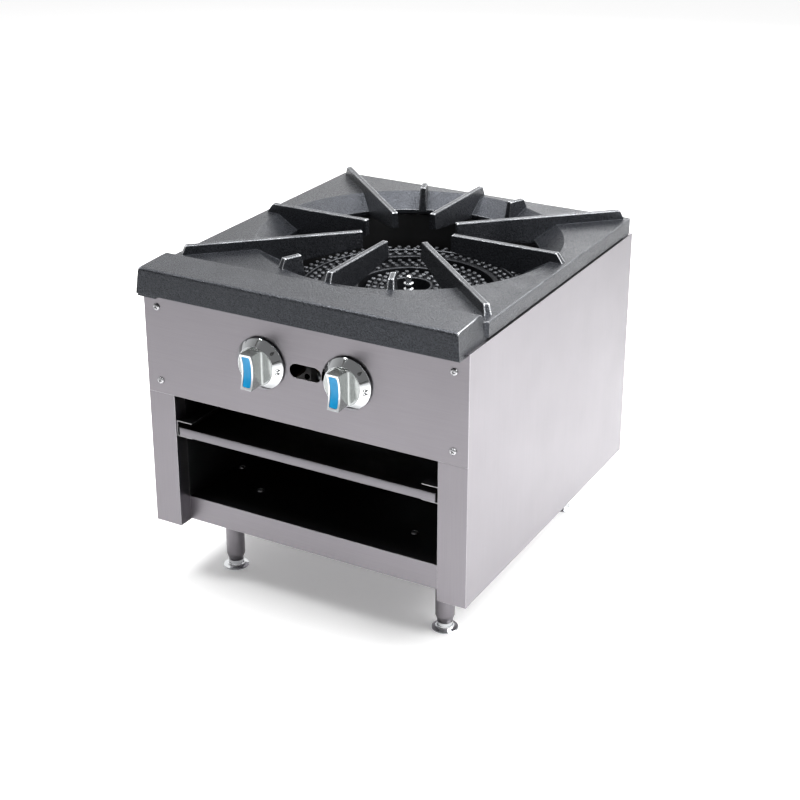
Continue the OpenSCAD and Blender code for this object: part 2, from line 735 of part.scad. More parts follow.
// Front of the bar and pocket for the coloured insert
grip_front = skirt_front + grip_d;
pocket_in = 2.3;
pocket_d = 3;

// Section of the bar: drafted flanks that run into the dial in a hollow curve
module bar_section() {
    flare = 0.6;
    hollow = 2.5;
    base = grip_w / 2 + flare + hollow;
    polygon(concat([[grip_w / 2, grip_front]], arc(base, skirt_front + hollow, hollow, 180, 270, 4),
        [[base, skirt_front - dial_t], [-base, skirt_front - dial_t]],
        arc(-base, skirt_front + hollow, hollow, 270, 360, 4), [[-grip_w / 2, grip_front]]));
}

// Outline of the pocket, with round corners
module pocket_shape() {
    r = 2.6;
    x = grip_w / 2 - pocket_in - r;
    y = grip_l / 2 - 3 - r;
    polygon(concat(arc(x, y, r, 0, 90), arc(-x, y, r, 90, 180), arc(-x, -y, r, 180, 270), arc(x, -y, r, 270, 360)));
}

// Scooped front of the bar as a profile along its length, height above the panel
function scoop(h) = [for (i = [-6:6]) [i * grip_l / 12, h - grip_scoop * (1 - i * i / 36)]];

module knob_grip(x) {
    lean = 1;
    color("#8f9290") on_knob(x) difference() {
        union() {
            translate([0, 0, hub_back]) cylinder(r = hub_r, h = skirt_front - hub_back - dial_t / 2);
            translate([0, 0, skirt_front - dial_t]) cylinder(r = dial_r, h = dial_t, $fn = 72);
            intersection() {
                rotate([90, 0, 0]) translate([0, 0, -grip_l / 2]) linear_extrude(grip_l) bar_section();
                rotate([90, 0, 90]) translate([0, 0, -grip_w]) linear_extrude(2 * grip_w)
                    polygon(concat(scoop(grip_front),
                        [[grip_l / 2 - lean, skirt_front - dial_t], [-grip_l / 2 + lean, skirt_front - dial_t]]));
            }
        }
        translate([0, 0, knob_gap]) cylinder(d = stem_d, h = skirt_d - hub_wall);
        intersection() {
            translate([0, 0, skirt_front]) linear_extrude(grip_d + past) pocket_shape();
            rotate([90, 0, 90]) translate([0, 0, -grip_w]) linear_extrude(2 * grip_w)
                polygon(concat(scoop(grip_front - pocket_d), [[grip_l / 2, grip_front + past], [-grip_l / 2, grip_front + past]]));
        }
    }
}
module left_knob_grip() { knob_grip(left_x); }
module right_knob_grip() { knob_grip(right_x); }

// Blue insert in the front of the bar
module knob_insert(x) {
    proud = 0.4;
    color("#1f8fcf") on_knob(x) intersection() {
        translate([0, 0, skirt_front]) linear_extrude(grip_d + past) pocket_shape();
        rotate([90, 0, 90]) translate([0, 0, -grip_w]) linear_extrude(2 * grip_w)
            polygon(concat(scoop(grip_front - pocket_d), [for (i = [6:-1:-6])
                [i * grip_l / 12, grip_front - proud - grip_scoop * (1 - i * i / 36)]]));
    }
}
module left_knob_insert() { knob_insert(left_x); }
module right_knob_insert() { knob_insert(right_x); }

// Gas pipes and fittings
elbow_bend = pipe_r + 6;
thread_l = 18;
thread_r = pipe_r - 0.35;
socket_l = 14;
manifold_x0 = left_x - 35;
manifold_x1 = inlet_x - elbow_bend;
module manifold_pipe() {
    color("#6a6c6e") difference() {
        rod_x(manifold_y, knob_z, pipe_r, manifold_x0, manifold_x1);
        rod_x(manifold_y, knob_z, pipe_bore, manifold_x0 - past, manifold_x1 + past);
        for (x = [left_x, right_x]) rod_y(x, knob_z, 7, manifold_y - pipe_r - past, manifold_y);
        rod_y(pilot_valve_x, knob_z, 5, manifold_y - pipe_r - past, manifold_y);
    }
}
module manifold_cap() {
    color("#55575a") difference() {
        rod_x(manifold_y, knob_z, pipe_r + 4, manifold_x0 - 8, manifold_x0 + 12);
        rod_x(manifold_y, knob_z, pipe_r, manifold_x0, manifold_x0 + 12 + past);
    }
}

// Elbow fitting in its own frame: sockets along -X and -Y from the corner of the bend
module elbow() {
    difference() {
        union() {
            translate([-elbow_bend, -elbow_bend, 0]) quarter_bend(elbow_bend, pipe_r + 2);
            translate([-elbow_bend - socket_l, 0, 0]) rotate([0, 90, 0]) cylinder(r = pipe_r + 4, h = socket_l);
            translate([0, -elbow_bend - socket_l, 0]) rotate([-90, 0, 0]) cylinder(r = pipe_r + 4, h = socket_l);
        }
        translate([-elbow_bend, -elbow_bend, 0]) quarter_bend(elbow_bend, pipe_bore);
        translate([-elbow_bend - socket_l - past, 0, 0]) rotate([0, 90, 0]) cylinder(r = pipe_r, h = socket_l + past);
        translate([0, -elbow_bend - socket_l - past, 0]) rotate([-90, 0, 0]) cylinder(r = pipe_r, h = socket_l + past);
        translate([-elbow_bend - past, 0, 0]) rotate([0, 90, 0]) cylinder(r = pipe_bore, h = past + seam);
        translate([0, -elbow_bend - past, 0]) rotate([-90, 0, 0]) cylinder(r = pipe_bore, h = past + seam);
    }
}
module supply_elbows() {
    color("#55575a") {
        translate([inlet_x, manifold_y, knob_z]) rotate([90, 0, 0]) elbow();
        translate([inlet_x, manifold_y, supply_z]) rotate([0, -90, 0]) rotate([0, 0, 180]) elbow();
    }
}
module supply_riser() {
    color("#6a6c6e") difference() {
        translate([inlet_x, manifold_y, supply_z + elbow_bend]) cylinder(r = pipe_r, h = inlet_drop - 2 * elbow_bend);
        translate([inlet_x, manifold_y, supply_z + elbow_bend - past])
            cylinder(r = pipe_bore, h = inlet_drop - 2 * elbow_bend + 2 * past);
    }
}
module supply_pipe() {
    color("#6a6c6e") difference() {
        union() {
            rod_y(inlet_x, supply_z, pipe_r, manifold_y + elbow_bend, back_y + inlet_out - thread_l);
            rod_y(inlet_x, supply_z, thread_r, back_y + inlet_out - thread_l - past, back_y + inlet_out);
        }
        rod_y(inlet_x, supply_z, pipe_bore, manifold_y + elbow_bend - past, back_y + inlet_out + past);
    }
}

// Two saddles that hold the manifold on the lower fold of the control panel
module manifold_brackets() {
    w = 16;
    t = 2.5;
    foot_z = panel_z + sheet;
    color("#8c8e90") for (x = [left_x + 34, right_x + 28]) difference() {
        union() {
            block([x, front_y + sheet, foot_z], [x + w, manifold_y + t, foot_z + t]);
            block([x, manifold_y - t, foot_z], [x + w, manifold_y + t, knob_z - pipe_r + 4]);
        }
        rod_x(manifold_y, knob_z, pipe_r, x - past, x + w + past);
    }
}

// Centre pilot: dome topped burner in the small ring, on a strap across its hole
pilot_top = port_z + 18;
tube_r = 2.5;
tube_bend = 12;
strap_z = ring_z + 10;
nut_h = 8;
pilot_front = front_y + 38;
pilot_run_z = mix_z + 10;
outer_run_z = mix_z - 16;
module pilot_burner() {
    r = 4;
    color("#c9c6bd") translate([pilot_x, pilot_y, 0]) {
        translate([0, 0, strap_z]) cylinder(r = r, h = pilot_top - r - strap_z);
        translate([0, 0, pilot_top - r]) sphere(r);
        translate([0, 0, strap_z]) cylinder(r = 6.5, h = 5, $fn = 6);
        for (z = [port_z - 3, port_z + 5]) translate([0, 0, z]) cylinder(r = 6.5, h = 2);
    }
}
module pilot_bracket() {
    color("#8c8e90") difference() {
        translate([0, burner_y, 0]) intersection() {
            block([-inner_in, pilot_y - burner_y - 7, strap_z - 2.5], [inner_in, pilot_y - burner_y + 7, strap_z]);
            translate([0, 0, strap_z - 3]) cylinder(r = inner_in, h = 4);
        }
        translate([pilot_x, pilot_y, strap_z - 4]) cylinder(r = tube_r, h = 5);
    }
}

// Tube of a pilot: down from z1 at x, y, a bend, and forwards to y0 at height z0
module pilot_run(x, y, z0, z1, y0) {
    translate([x, y, z0 + tube_bend]) cylinder(r = tube_r, h = z1 - z0 - tube_bend);
    translate([x, y - tube_bend, z0 + tube_bend]) rotate([0, 90, 0]) quarter_bend(tube_bend, tube_r);
    rod_y(x, z0, tube_r, y0, y - tube_bend);
}
// Upright end of a pilot tube below its nut on the pilot valve
module pilot_rise(x, z0) {
    translate([x, pilot_front, z0 + tube_bend]) cylinder(r = tube_r, h = knob_z - nut_h - z0 - tube_bend);
}
module pilot_tube() {
    x = pilot_x;
    color("#b3b5b8") {
        pilot_run(x, pilot_y, pilot_run_z, strap_z, pilot_front + tube_bend);
        translate([x, pilot_front + tube_bend, pilot_run_z + tube_bend])
            rotate([0, 90, 0]) rotate([0, 0, -90]) quarter_bend(tube_bend, tube_r);
        pilot_rise(x, pilot_run_z);
    }
}

// Pilot of the outer ring: a pin in the gap between the ring and the heat shield
outer_pilot_x = -(shield_r - shield_foot + outer_out) / 2;
outer_pilot_y = burner_y - 4;
module outer_pilot_burner() {
    color("#c9c6bd") translate([outer_pilot_x, outer_pilot_y, 0]) {
        translate([0, 0, ring_top - 8]) cylinder(r = tube_r, h = 8 + port_h + 9);
        translate([0, 0, ring_top + port_h + 9]) sphere(tube_r);
    }
}
module outer_pilot_tube() {
    x = pilot_valve_x + pilot_out;
    color("#b3b5b8") {
        pilot_run(outer_pilot_x, outer_pilot_y, outer_run_z, ring_top - 8, pilot_front + tube_bend);
        translate([outer_pilot_x + tube_bend, pilot_front + tube_bend, outer_run_z]) rotate([0, 0, 180])
            quarter_bend(tube_bend, tube_r);
        rod_x(pilot_front, outer_run_z, tube_r, outer_pilot_x + tube_bend, x - tube_bend);
        translate([x - tube_bend, pilot_front, outer_run_z + tube_bend]) rotate([90, 0, 0]) rotate([0, 0, -90])
            quarter_bend(tube_bend, tube_r);
        pilot_rise(x, outer_run_z);
    }
}

// Pilot valve: screwed into the manifold, with an outlet down to each pilot tube
module pilot_valve() {
    r = 4.5;
    color("#b08d4c") {
        rod_y(pilot_valve_x, knob_z, 6.5, front_y + 26, manifold_y - pipe_r - 0.5);
        rod_y(pilot_valve_x, knob_z, 5, front_y + 30, manifold_y - pipe_r + 1);
        rod_y(pilot_valve_x, knob_z, 3.5, front_y + 18, front_y + 27);
        rod_x(pilot_front, knob_z, r, pilot_valve_x - pilot_out, pilot_valve_x + pilot_out);
        for (x = [pilot_valve_x - pilot_out, pilot_valve_x + pilot_out]) translate([x, pilot_front, 0]) {
            translate([0, 0, knob_z]) sphere(r);
            translate([0, 0, knob_z - nut_h]) cylinder(r = 5.5, h = nut_h, $fn = 6);
        }
    }
}

// Places of the legs: each child faces its corner as the one at the front right does
module at_leg(sx, sy) {
    translate([sx * leg_x, sy < 0 ? leg_front : leg_rear, 0])
        mirror([sx < 0 ? 1 : 0, 0, 0]) mirror([0, sy > 0 ? 1 : 0, 0]) children();
}
// Places of the two bolts of every leg, one towards the middle and one along the side
leg_bolt_xy = [[-bolt_in, 0], [bolt_side, bolt_in]];
module leg_bolt_places() {
    for (sx = [-1, 1], sy = [-1, 1]) at_leg(sx, sy)
        for (b = leg_bolt_xy) translate([b[0], b[1], 0]) children();
}

// Leg: round tube with a closed tapered end, welded to a three cornered plate
leg_z = foot_h + slack;
stud_h = foot_h + foot_travel + 18;
module leg() {
    wall = 1.6;
    taper = 9;
    plug = stud_h + 3;
    plate_r = 9;
    z = leg_top - leg_plate_t;
    color("#a5a1a6") difference() {
        union() {
            translate([0, 0, leg_z + taper]) cylinder(d = leg_d, h = leg_top - leg_z - taper);
            translate([0, 0, leg_z]) cylinder(d1 = leg_d - 6, d2 = leg_d, h = taper);
            translate([0, 0, z]) {
                cylinder(r = leg_d / 2 + 6, h = leg_plate_t);
                for (b = leg_bolt_xy) translate([b[0], b[1], 0]) cylinder(r = plate_r, h = leg_plate_t);
                linear_extrude(leg_plate_t) polygon([[-bolt_in, -plate_r], [0, -leg_d / 2 - 6],
                    [leg_d / 2 + 6, 0], [bolt_side + plate_r, bolt_in], [bolt_side - 4, bolt_in + 8],
                    [-bolt_in - 4, 8]]);
            }
        }
        translate([0, 0, plug]) cylinder(d = leg_d - 2 * wall, h = leg_top);
        translate([0, 0, leg_z - past]) cylinder(d = stud_d + 2 * slack, h = leg_top);
        for (b = leg_bolt_xy) translate([b[0], b[1], z - past]) cylinder(d = bolt_d, h = leg_plate_t + 2 * past);
    }
}
module leg_front_left() { at_leg(-1, -1) leg(); }
module leg_front_right() { at_leg(1, -1) leg(); }
module leg_rear_left() { at_leg(-1, 1) leg(); }
module leg_rear_right() { at_leg(1, 1) leg(); }

// Chrome foot with a threaded stud that screws out of the leg
module foot() {
    hub = leg_d / 2 - 2.2;
    color("#c4c6c8") {
        rotate_extrude() polygon(concat([[0, 0], [foot_r - 0.8, 0], [foot_r, 0.8], [foot_r, 1.6],
            [foot_r - 0.7, 2.3]], arc(hub + 3.5, 6, 3.5, 270, 180, 5), [[hub, foot_h], [0, foot_h]]));
        cylinder(d = stud_d, h = stud_h);
    }
}
module foot_front_left() { at_leg(-1, -1) foot(); }
module foot_front_right() { at_leg(1, -1) foot(); }
module foot_rear_left() { at_leg(-1, 1) foot(); }
module foot_rear_right() { at_leg(1, 1) foot(); }

module leg_bolts() {
    nut_room = 6;
    color("#c4c6c8") leg_bolt_places() {
        translate([0, 0, leg_top - leg_plate_t - nut_room])
            cylinder(d = bolt_d, h = shelf_z - leg_top + leg_plate_t + nut_room + past);
        translate([0, 0, shelf_z]) rotate_extrude() polygon(concat([[0, 0], [4.6, 0]], arc(0, -2.4, 5.2, 28, 90, 5)));
    }
}
module leg_nuts() {
    nut = 4;
    color("#aeb0b2") leg_bolt_places() difference() {
        translate([0, 0, leg_top - leg_plate_t - nut]) cylinder(r = 4.6, h = nut, $fn = 6);
        translate([0, 0, leg_top - leg_plate_t - nut - past]) cylinder(d = bolt_d, h = nut + 2 * past);
    }
}

left_side_panel();
right_side_panel();
left_liner();
right_liner();
back_panel();
control_panel();
bottom_shelf();
shelf_liner();
panel_screws();
back_screws();
left_tray_rail();
right_tray_rail();
drip_tray();
top_grate();
burner_shield();
front_support_bar();
rear_support_bar();
support_screws();
outer_burner_ring();
centre_burner_rings();
outer_mixing_tube();
centre_mixing_tube();
outer_air_shutter();
centre_air_shutter();
outer_orifice();
centre_orifice();
left_valve();
right_valve();
left_valve_stem();
right_valve_stem();
left_knob_skirt();
right_knob_skirt();
left_knob_grip();
right_knob_grip();
left_knob_insert();
right_knob_insert();
manifold_pipe();
manifold_cap();
manifold_brackets();
supply_elbows();
supply_riser();
supply_pipe();
pilot_burner();
pilot_bracket();
pilot_tube();
pilot_valve();
outer_pilot_burner();
outer_pilot_tube();
leg_front_left();
leg_front_right();
leg_rear_left();
leg_rear_right();
foot_front_left();
foot_front_right();
foot_rear_left();
foot_rear_right();
leg_bolts();
leg_nuts();
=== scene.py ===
import math

import bmesh
import bpy
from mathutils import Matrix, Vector


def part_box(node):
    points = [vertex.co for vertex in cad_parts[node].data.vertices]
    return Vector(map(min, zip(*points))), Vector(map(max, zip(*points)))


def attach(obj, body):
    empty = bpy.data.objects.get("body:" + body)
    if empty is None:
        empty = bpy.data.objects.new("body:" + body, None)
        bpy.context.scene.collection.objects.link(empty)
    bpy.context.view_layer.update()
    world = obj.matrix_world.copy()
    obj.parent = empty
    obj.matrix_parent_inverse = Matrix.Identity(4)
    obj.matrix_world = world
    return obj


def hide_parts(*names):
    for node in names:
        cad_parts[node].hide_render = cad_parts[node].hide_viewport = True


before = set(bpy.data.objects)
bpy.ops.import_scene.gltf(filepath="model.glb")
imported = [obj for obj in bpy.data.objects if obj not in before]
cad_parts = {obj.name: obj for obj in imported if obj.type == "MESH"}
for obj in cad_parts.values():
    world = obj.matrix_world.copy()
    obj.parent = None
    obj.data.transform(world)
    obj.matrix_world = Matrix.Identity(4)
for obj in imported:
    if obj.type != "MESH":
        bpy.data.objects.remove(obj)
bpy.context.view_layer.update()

# Folded body: side panels with their front posts, bottom shelf, control panel and legs.
# Stainless steel sheet, 1.2 mm, brushed on the rolls, folded on a press and spot welded.
# The brushing leaves a faint grain along each piece. Fold edges catch a thin line of light from their
# rounded normal, and a painted highlight lightens their colour there.
MM = 0.001


def tone(code):
    """Linear colour of an sRGB hex code."""
    parts = [int(code[i:i + 2], 16) / 255 for i in (1, 3, 5)]
    return tuple([c / 12.92 if c <= 0.04045 else ((c + 0.055) / 1.055) ** 2.4 for c in parts] + [1.0])


def add_node(owner, kind, sets=None, links=None, **props):
    """Adds a node to a finish, the world or a bare tree, with its values and what feeds it."""
    tree = getattr(owner, "node_tree", owner)
    made = tree.nodes.new(kind)
    for name, value in props.items():
        setattr(made, name, value)
    for socket, value in (sets or {}).items():
        made.inputs[socket].default_value = value
    for socket, source in (links or {}).items():
        tree.links.new(source, made.inputs[socket])
    return made


def new_finish(name, sets=None):
    """A material with its object coordinates, and its shader joined to the output."""
    finish = bpy.data.materials.new(name)
    finish.use_nodes = True
    finish.node_tree.nodes.clear()
    place = add_node(finish, "ShaderNodeTexCoord").outputs["Object"]
    skin = add_node(finish, "ShaderNodeBsdfPrincipled", sets)
    add_node(finish, "ShaderNodeOutputMaterial", links={"Surface": skin.outputs["BSDF"]})
    return finish, place, skin


def feed(finish, skin, **sources):
    """Links sources to the shader's sockets, with _ for a space in a socket's name."""
    for socket, source in sources.items():
        finish.node_tree.links.new(source, skin.inputs[socket.replace("_", " ")])


def blend_tone(finish, low, high, amount):
    """A colour between two hex codes."""
    sets = {"A": tone(low), "B": tone(high)}
    mix = add_node(finish, "ShaderNodeMix", sets, {"Factor": amount}, data_type="RGBA")
    return mix.outputs["Result"]


def over_tone(finish, base, code, amount):
    """A colour that a hex code covers by an amount."""
    links = {"A": base, "Factor": amount}
    mix = add_node(finish, "ShaderNodeMix", {"B": tone(code)}, links, data_type="RGBA")
    return mix.outputs["Result"]


def spread(finish, value, low, high, start=0.0, end=1.0):
    """Maps a value from start to end onto low to high."""
    sets = {"From Min": start, "From Max": end, "To Min": low, "To Max": high}
    return add_node(finish, "ShaderNodeMapRange", sets, {"Value": value}).outputs["Result"]


def times(finish, one, other):
    """Product of two values."""
    links = {0: one, 1: other}
    return add_node(finish, "ShaderNodeMath", None, links, operation="MULTIPLY").outputs["Value"]


def noise(finish, place, step, detail=2.0, rough=0.5):
    """Noise with features of about a step's size, in metres."""
    sets = {"Scale": 1 / step, "Detail": detail, "Roughness": rough}
    return add_node(finish, "ShaderNodeTexNoise", sets, {"Vector": place}).outputs["Fac"]


def rounded(finish, radius):
    """Normal of a surface whose edges are broken to a radius."""
    return add_node(finish, "ShaderNodeBevel", {"Radius": radius}, samples=6).outputs["Normal"]


def edge_share(finish, soft):
    """How much of a broken edge each point is, from the rounded normal."""
    flat = add_node(finish, "ShaderNodeNewGeometry").outputs["Normal"]
    alike = add_node(finish, "ShaderNodeVectorMath", None, {0: soft, 1: flat}, operation="DOT_PRODUCT")
    return spread(finish, alike.outputs["Value"], 1.0, 0.0, 0.72, 0.995)


def bumped(finish, height, normal, strength, depth):
    """Normal with a pattern of heights pressed into it."""
    sets = {"Strength": strength, "Distance": depth}
    links = {"Height": height, "Normal": normal}
    return add_node(finish, "ShaderNodeBump", sets, links).outputs["Normal"]


def dress(finish, *nodes):
    """Gives a finish to CAD pieces whose shape stays."""
    for name in nodes:
        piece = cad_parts[name]
        piece.data.materials.clear()
        piece.data.materials.append(finish)


def brushed_sheet(name, low, high, along, gloss):
    """Brushed sheet: grain 0.8 mm apart, drawn coarser than the real 0.1 mm so that it shows."""
    finish, place, skin = new_finish(name, {"Metallic": 1.0})
    stretch = [1.0] * 3
    stretch[along] = 0.012
    drawn_out = add_node(finish, "ShaderNodeMapping", {"Scale": stretch}, {"Vector": place})
    grain = noise(finish, drawn_out.outputs["Vector"], 0.8 * MM, 3.0, 0.65)
    cloud = noise(finish, place, 90 * MM, 3.0)
    edge = rounded(finish, 1.1 * MM)
    # Painted highlight: the colour at broken edges is lightened towards pale grey.
    painted_edge_highlight = spread(finish, edge_share(finish, edge), 0.0, 0.55)
    sheet = blend_tone(finish, low, high, grain)
    feed(finish, skin, Base_Color=over_tone(finish, sheet, "#d8d6d9", painted_edge_highlight),
         Roughness=spread(finish, cloud, gloss - 0.05, gloss + 0.07),
         Normal=bumped(finish, grain, edge, 0.10, 0.06 * MM))
    return finish


stainless_upright = brushed_sheet("brushed_stainless_steel_upright", "#716e72", "#7c797d", 2, 0.36)
stainless_across = brushed_sheet("brushed_stainless_steel_across", "#716e72", "#7c797d", 0, 0.36)
dress(stainless_upright, "left_side_panel", "right_side_panel", "leg_front_left", "leg_front_right",
      "leg_rear_left", "leg_rear_right")
dress(stainless_across, "control_panel", "bottom_shelf")

# Back panel: steel sheet, hot dip zinc coated, left bare and screwed to the sides' rear folds.
# Zinc freezes in crystals about a centimetre wide, each with its own grey and gloss.
zinc, place, skin = new_finish("zinc_coated_steel", {"Metallic": 0.9})
crystal_size = 11 * MM
crystals = add_node(zinc, "ShaderNodeTexVoronoi", {"Scale": 1 / crystal_size}, {"Vector": place})
shade = crystals.outputs["Color"]
feed(zinc, skin, Base_Color=blend_tone(zinc, "#7a7c7e", "#8c8e90", shade),
     Roughness=spread(zinc, shade, 0.36, 0.52), Normal=rounded(zinc, 0.6 * MM))
dress(zinc, "back_panel")


# Inner walls and shelf cover are black sheets that stand for the shade inside the body: painted shade.
# Tray rails, cross bars, heat shield, pilot strap: steel under enamel.
# The enamel is sprayed and baked: black, half gloss, with an orange peel 2.5 mm wide. It runs
# thin along the edges, and the tray has rubbed the cut front ends of its rails bare.
def black_enamel(name, bare_ends):
    """Black enamel on sheet steel, its cut front ends bare by an amount."""
    finish, place, skin = new_finish(name)
    peel = noise(finish, place, 2.5 * MM)
    dust = noise(finish, place, 50 * MM, 4.0)
    edge = rounded(finish, 0.7 * MM)
    thin_spots = spread(finish, noise(finish, place, 9 * MM, 3.0), 0.15, 1.0, 0.36, 0.54)
    wear = times(finish, edge_share(finish, edge), thin_spots)
    facing = add_node(finish, "ShaderNodeNewGeometry").outputs["Normal"]
    fore = add_node(finish, "ShaderNodeSeparateXYZ", None, {"Vector": facing}).outputs["Y"]
    bare = spread(finish, fore, bare_ends, 0.0, -0.98, -0.8)
    coat = over_tone(finish, blend_tone(finish, "#060606", "#0f0f10", dust), "#8c8c8e", wear)
    feed(finish, skin, Base_Color=over_tone(finish, coat, "#a3a3a5", bare),
         Roughness=spread(finish, dust, 0.32, 0.5), Normal=bumped(finish, peel, edge, 0.2, 0.1 * MM))
    return finish


enamel_and_interior_shade = black_enamel("black_enamel_and_painted_interior_shade", 0.0)
# The liners and the shelf cover take this black as painted shade for the dark inside of the body.
dress(enamel_and_interior_shade, "left_liner", "right_liner", "shelf_liner", "burner_shield", "front_support_bar",
      "rear_support_bar", "pilot_bracket")
dress(black_enamel("rubbed_enamel_on_rails", 0.9), "left_tray_rail", "right_tray_rail")

# Feet: steel turned on a lathe under bright chrome plate, screwed up into the legs.
# The pilot burners are plated tips, one on its strap and one at the end of its tube.
# Chrome mirrors the floor and the dark underside, with a slight haze.
plate_sets = {"Metallic": 1.0, "Base Color": tone("#d9dbdd")}
chrome, place, skin = new_finish("bright_chrome_plate", plate_sets)
haze = noise(chrome, place, 15 * MM, 3.0)
feed(chrome, skin, Roughness=spread(chrome, haze, 0.04, 0.09), Normal=rounded(chrome, 0.4 * MM))
dress(chrome, "foot_front_left", "foot_front_right", "foot_rear_left", "foot_rear_right",
      "pilot_burner", "outer_pilot_burner")

# Screws: pan heads with a cross recess, cold headed from steel wire and zinc plated.
# Each sits square on its sheet, and its recess is turned by chance, as a driver left it.
HEAD_SIDES = 24
CROSS_ARM = 0.3


def make_piece(name, points, faces, finishes, smooth_to=32):
    """A mesh object at the origin, its doubles merged and its faces turned outwards."""
    mesh = bpy.data.meshes.new(name)
    mesh.from_pydata(points, [], faces)
    shell = bmesh.new()
    shell.from_mesh(mesh)
    bmesh.ops.remove_doubles(shell, verts=shell.verts, dist=0.001 * MM)
    bmesh.ops.recalc_face_normals(shell, faces=shell.faces)
    shell.to_mesh(mesh)
    shell.free()
    for finish in finishes:
        mesh.materials.append(finish)
    mesh.shade_smooth()
    mesh.set_sharp_from_angle(angle=math.radians(smooth_to))
    made = bpy.data.objects.new(name, mesh)
    bpy.context.scene.collection.objects.link(made)
    return made


def skin_over(loops, round_again=False):
    """Points and faces of a closed skin over loops that all have the same number of points."""
    count = len(loops[0])
    points = [p for loop in loops for p in loop]
    faces = []
    for i in range(len(loops) - (0 if round_again else 1)):
        a, b = i * count, (i + 1) % len(loops) * count
        for j in range(count):
            k = (j + 1) % count
            faces.append((a + j, a + k, b + k, b + j))
    if not round_again:
        faces.append(tuple(range(count)))
        faces.append(tuple(range(len(points) - count, len(points))))
    return points, faces


def joined(shells):
    """Points and faces of several shells as one mesh."""
    points, faces = [], []
    for shell_points, shell_faces in shells:
        start = len(points)
        points += shell_points
        faces += [tuple(start + i for i in face) for face in shell_faces]
    return points, faces


def full_turn(sides):
    """Angles of the sides of a turned piece."""
    return [2 * math.pi * k / sides for k in range(sides)]


def turned(profile, sides):
    """Loops of a piece turned about Z from pairs of radius and height in millimetres."""
    turns = full_turn(sides)
    return [[(r * MM * math.cos(t), r * MM * math.sin(t), z * MM) for t in turns] for r, z in profile]


def cross_reach(k, reach):
    """How far a cross recess goes out at one of the head's sides."""
    off = math.radians((k * 360 / HEAD_SIDES + 45) % 90 - 45)
    return min(reach / math.cos(off), CROSS_ARM * reach / max(0.01, abs(math.sin(off))))


def screw_head(name, radius, height, finish):
    """Pan head with a cross recess, its seat at the origin and its axis along Z."""
    dome = [(0.9, 0.0), (1.0, 0.2), (0.93, 0.55), (0.78, 0.82), (0.62, 0.95)]
    loops = turned([(radius * r, height * h) for r, h in dome], HEAD_SIDES)
    for share, h in ((0.56, 0.97), (0.52, 0.90), (0.36, 0.35)):
        reach = [cross_reach(k, share * radius) * MM for k in range(HEAD_SIDES)]
        loops.append([(r * math.cos(t), r * math.sin(t), h * height * MM)
                      for r, t in zip(reach, full_turn(HEAD_SIDES))])
    return make_piece(name, *skin_over(loops), [finish], 28)


def placing_tree():
    """Geometry nodes that set a piece on every point, along the point's aim, turned by chance."""
    tree = bpy.data.node_groups.new("pieces_set_on_points", "GeometryNodeTree")
    tree.interface.new_socket(name="Geometry", in_out="OUTPUT", socket_type="NodeSocketGeometry")
    kinds = {"Geometry": "Geometry", "Piece": "Object", "Most turn": "Float", "Size spread": "Float",
             "Seed": "Int", "Finish": "Material"}
    for name, kind in kinds.items():
        tree.interface.new_socket(name=name, in_out="INPUT", socket_type="NodeSocket" + kind)

    def put(kind, sets=None, links=None, **props):
        return add_node(tree, kind, sets, links, **props).outputs

    given = put("NodeGroupInput")
    piece = put("GeometryNodeObjectInfo", {"As Instance": True}, {"Object": given["Piece"]},
                transform_space="ORIGINAL")
    aim = put("GeometryNodeInputNamedAttribute", {"Name": "aim"}, data_type="FLOAT_VECTOR")
    facing = put("FunctionNodeAlignRotationToVector", None, {"Vector": aim["Attribute"]}, axis="Z")
    chance = put("FunctionNodeRandomValue", None, {"Max": given["Most turn"], "Seed": given["Seed"]},
                 data_type="FLOAT")
    turn = put("ShaderNodeCombineXYZ", None, {"Z": chance["Value"]})
    twist = put("FunctionNodeEulerToRotation", None, {"Euler": turn["Vector"]})
    whole = put("FunctionNodeRotateRotation", None,
                {"Rotation": facing["Rotation"], "Rotate By": twist["Rotation"]},
                rotation_space="LOCAL")
    least = put("ShaderNodeMath", {0: 1.0}, {1: given["Size spread"]}, operation="SUBTRACT")
    size = put("FunctionNodeRandomValue", {"Max": 1.0}, {"Min": least["Value"], "Seed": given["Seed"]},
               data_type="FLOAT")
    set_on = put("GeometryNodeInstanceOnPoints", None,
                 {"Points": given["Geometry"], "Instance": piece["Geometry"],
                  "Rotation": whole["Rotation"], "Scale": size["Value"]})
    real = put("GeometryNodeRealizeInstances", None, {"Geometry": set_on["Instances"]})
    done = put("GeometryNodeSetMaterial", None,
               {"Geometry": real["Geometry"], "Material": given["Finish"]})
    put("NodeGroupOutput", None, {"Geometry": done["Geometry"]})
    return tree


placing = placing_tree()


def set_on_points(name, piece, spots, finish, seed, size_spread=0.0):
    """One mesh of a piece set on spots, each a place and an aim."""
    mesh = bpy.data.meshes.new(name)
    mesh.from_pydata([spot[0] for spot in spots], [], [])
    aim = mesh.attributes.new("aim", "FLOAT_VECTOR", "POINT")
    for i, spot in enumerate(spots):
        aim.data[i].vector = spot[1]
    made = bpy.data.objects.new(name, mesh)
    bpy.context.scene.collection.objects.link(made)
    step = made.modifiers.new("placing", "NODES")
    step.node_group = placing
    given = {"Piece": piece, "Most turn": math.pi, "Size spread": size_spread, "Seed": seed,
             "Finish": finish}
    for item in placing.interface.items_tree:
        if item.in_out == "INPUT" and item.name in given:
            step[item.identifier] = given[item.name]
    bpy.context.view_layer.update()
    whole = bpy.data.meshes.new_from_object(made.evaluated_get(bpy.context.evaluated_depsgraph_get()))
    made.modifiers.remove(step)
    made.data = whole
    bpy.data.meshes.remove(mesh)
    whole.name = name
    return made


def middle(node):
    """Middle of a CAD node's box."""
    low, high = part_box(node)
    return (low + high) / 2


